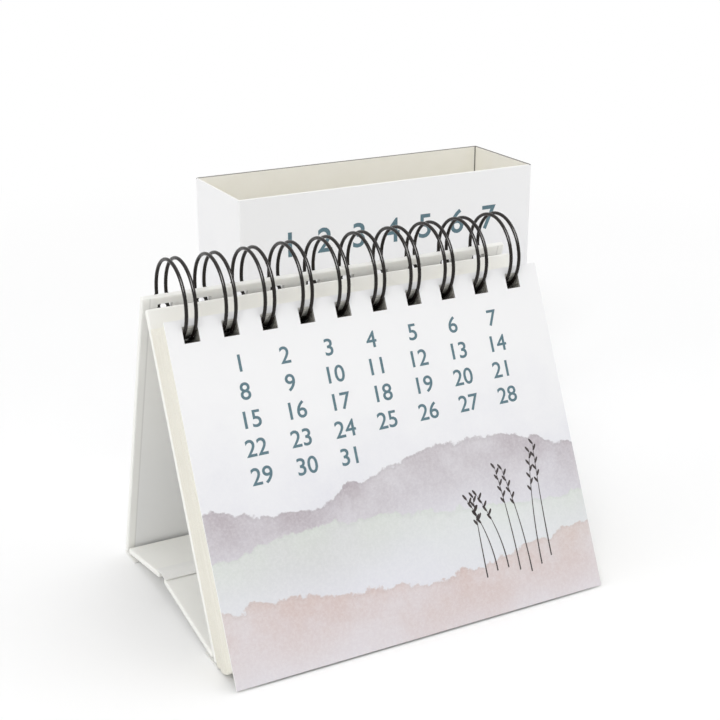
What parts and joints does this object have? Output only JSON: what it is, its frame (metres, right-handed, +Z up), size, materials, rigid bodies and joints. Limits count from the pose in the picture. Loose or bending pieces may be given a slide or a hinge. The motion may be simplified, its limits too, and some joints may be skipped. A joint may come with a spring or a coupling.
{
  "type": "desk perpetual calendar with slipcase",
  "caption": "Wire-bound desk calendar on a folding card easel: square-punched leaves and cover on a black twin-loop binding, with its open-topped card slipcase standing behind",
  "frame": {"origin": "bottom centre of the bounding box of calendar and slipcase together, on the table", "axes": "+X to the right along the leaves, +Y from the cover back to the slipcase, +Z up"},
  "size_m": [0.2086, 0.203, 0.1165],
  "materials": {
    "cover_card": "smooth printed card with a satin coat",
    "leaf_paper": "uncoated cream leaves with cut edges",
    "board_wrap": "greyboard wrapped in off-white paper",
    "hinge_paper": "off-white covering paper",
    "wire": "black nylon-coated steel wire",
    "case_card": "smooth white outside, cream inside"
  },
  "bodies": {
    "stand": {"front_board": "board_wrap", "binding_wire": "wire", "front_foot_hinge": "hinge_paper"},
    "cover": {"front_cover": "cover_card"},
    "leaves_01": {"month_01": "leaf_paper"},
    "leaves_02": {"month_02": "leaf_paper"},
    "leaves_03": {"month_03": "leaf_paper"},
    "leaves_04": {"month_04": "leaf_paper"},
    "leaves_05": {"month_05": "leaf_paper"},
    "leaves_06": {"month_06": "leaf_paper"},
    "leaves_07": {"month_07": "leaf_paper"},
    "leaves_08": {"month_08": "leaf_paper"},
    "leaves_09": {"month_09": "leaf_paper"},
    "leaves_10": {"month_10": "leaf_paper"},
    "leaves_11": {"month_11": "leaf_paper"},
    "leaves_12": {"month_12": "leaf_paper"},
    "rear_leg": {"rear_board": "board_wrap", "rear_foot_hinge": "hinge_paper"},
    "base_front": {"base_front_panel": "board_wrap", "base_crease_strip": "hinge_paper"},
    "base_rear": {"base_rear_panel": "board_wrap"},
    "slipcase": {"slipcase_sleeve": "case_card", "slipcase_base": "case_card"}
  },
  "joints": [
    {"name": "leaf_turn", "type": "hinge", "parent": "stand", "child": "leaves_01", "pos_m": [-0.0383, -0.04544, 0.1034], "axis": [-1, 0, 0], "range_deg": [0, 180]},
    {"name": "leaf_turn_02", "type": "hinge", "parent": "stand", "child": "leaves_02", "pos_m": [-0.0383, -0.04544, 0.1034], "axis": [-1, 0, 0], "range_deg": [0, 165]},
    {"name": "leaf_turn_03", "type": "hinge", "parent": "stand", "child": "leaves_03", "pos_m": [-0.0383, -0.04544, 0.1034], "axis": [-1, 0, 0], "range_deg": [0, 150]},
    {"name": "leaf_turn_04", "type": "hinge", "parent": "stand", "child": "leaves_04", "pos_m": [-0.0383, -0.04544, 0.1034], "axis": [-1, 0, 0], "range_deg": [0, 135]},
    {"name": "leaf_turn_05", "type": "hinge", "parent": "stand", "child": "leaves_05", "pos_m": [-0.0383, -0.04544, 0.1034], "axis": [-1, 0, 0], "range_deg": [0, 120]},
    {"name": "leaf_turn_06", "type": "hinge", "parent": "stand", "child": "leaves_06", "pos_m": [-0.0383, -0.04544, 0.1034], "axis": [-1, 0, 0], "range_deg": [0, 105]},
    {"name": "leaf_turn_07", "type": "hinge", "parent": "stand", "child": "leaves_07", "pos_m": [-0.0383, -0.04544, 0.1034], "axis": [-1, 0, 0], "range_deg": [0, 90]},
    {"name": "leaf_turn_08", "type": "hinge", "parent": "stand", "child": "leaves_08", "pos_m": [-0.0383, -0.04544, 0.1034], "axis": [-1, 0, 0], "range_deg": [0, 75]},
    {"name": "leaf_turn_09", "type": "hinge", "parent": "stand", "child": "leaves_09", "pos_m": [-0.0383, -0.04544, 0.1034], "axis": [-1, 0, 0], "range_deg": [0, 60]},
    {"name": "leaf_turn_10", "type": "hinge", "parent": "stand", "child": "leaves_10", "pos_m": [-0.0383, -0.04544, 0.1034], "axis": [-1, 0, 0], "range_deg": [0, 45]},
    {"name": "leaf_turn_11", "type": "hinge", "parent": "stand", "child": "leaves_11", "pos_m": [-0.0383, -0.04544, 0.1034], "axis": [-1, 0, 0], "range_deg": [0, 30]},
    {"name": "leaf_turn_12", "type": "hinge", "parent": "stand", "child": "leaves_12", "pos_m": [-0.0383, -0.04544, 0.1034], "axis": [-1, 0, 0], "range_deg": [0, 15]},
    {"name": "cover_turn", "type": "hinge", "parent": "stand", "child": "cover", "pos_m": [-0.0383, -0.04544, 0.1034], "axis": [-1, 0, 0], "range_deg": [0, 195]},
    {"name": "stand_fold", "type": "hinge", "parent": "stand", "child": "rear_leg", "pos_m": [-0.0383, -0.04544, 0.1034], "axis": [-1, 0, 0], "range_deg": [0, 28]},
    {"name": "base_front_fold", "type": "hinge", "parent": "stand", "child": "base_front", "pos_m": [-0.0383, -0.08264, 0.0028], "axis": [1, 0, 0], "range_deg": [0, 56]},
    {"name": "base_rear_fold", "type": "hinge", "parent": "rear_leg", "child": "base_rear", "pos_m": [-0.0383, -0.00664, 0.0028], "axis": [-1, 0, 0], "range_deg": [0, 44.8]},
    {"name": "slipcase_slide", "type": "slide", "parent": "stand", "child": "slipcase", "axis": [0, 1, 0], "range_m": [0, 0.12]}
  ],
  "couplings": [
    {"joint": "leaf_turn_02", "follows": "leaf_turn", "ratio": 0.91666},
    {"joint": "leaf_turn_03", "follows": "leaf_turn", "ratio": 0.83333},
    {"joint": "leaf_turn_04", "follows": "leaf_turn", "ratio": 0.75},
    {"joint": "leaf_turn_05", "follows": "leaf_turn", "ratio": 0.66666},
    {"joint": "leaf_turn_06", "follows": "leaf_turn", "ratio": 0.58333},
    {"joint": "leaf_turn_07", "follows": "leaf_turn", "ratio": 0.5},
    {"joint": "leaf_turn_08", "follows": "leaf_turn", "ratio": 0.41666},
    {"joint": "leaf_turn_09", "follows": "leaf_turn", "ratio": 0.33333},
    {"joint": "leaf_turn_10", "follows": "leaf_turn", "ratio": 0.25},
    {"joint": "leaf_turn_11", "follows": "leaf_turn", "ratio": 0.16666},
    {"joint": "leaf_turn_12", "follows": "leaf_turn", "ratio": 0.08333},
    {"joint": "cover_turn", "follows": "leaf_turn", "ratio": 1.0833},
    {"joint": "base_front_fold", "follows": "stand_fold", "ratio": 2},
    {"joint": "base_rear_fold", "follows": "stand_fold", "ratio": 1.6}
  ]
}
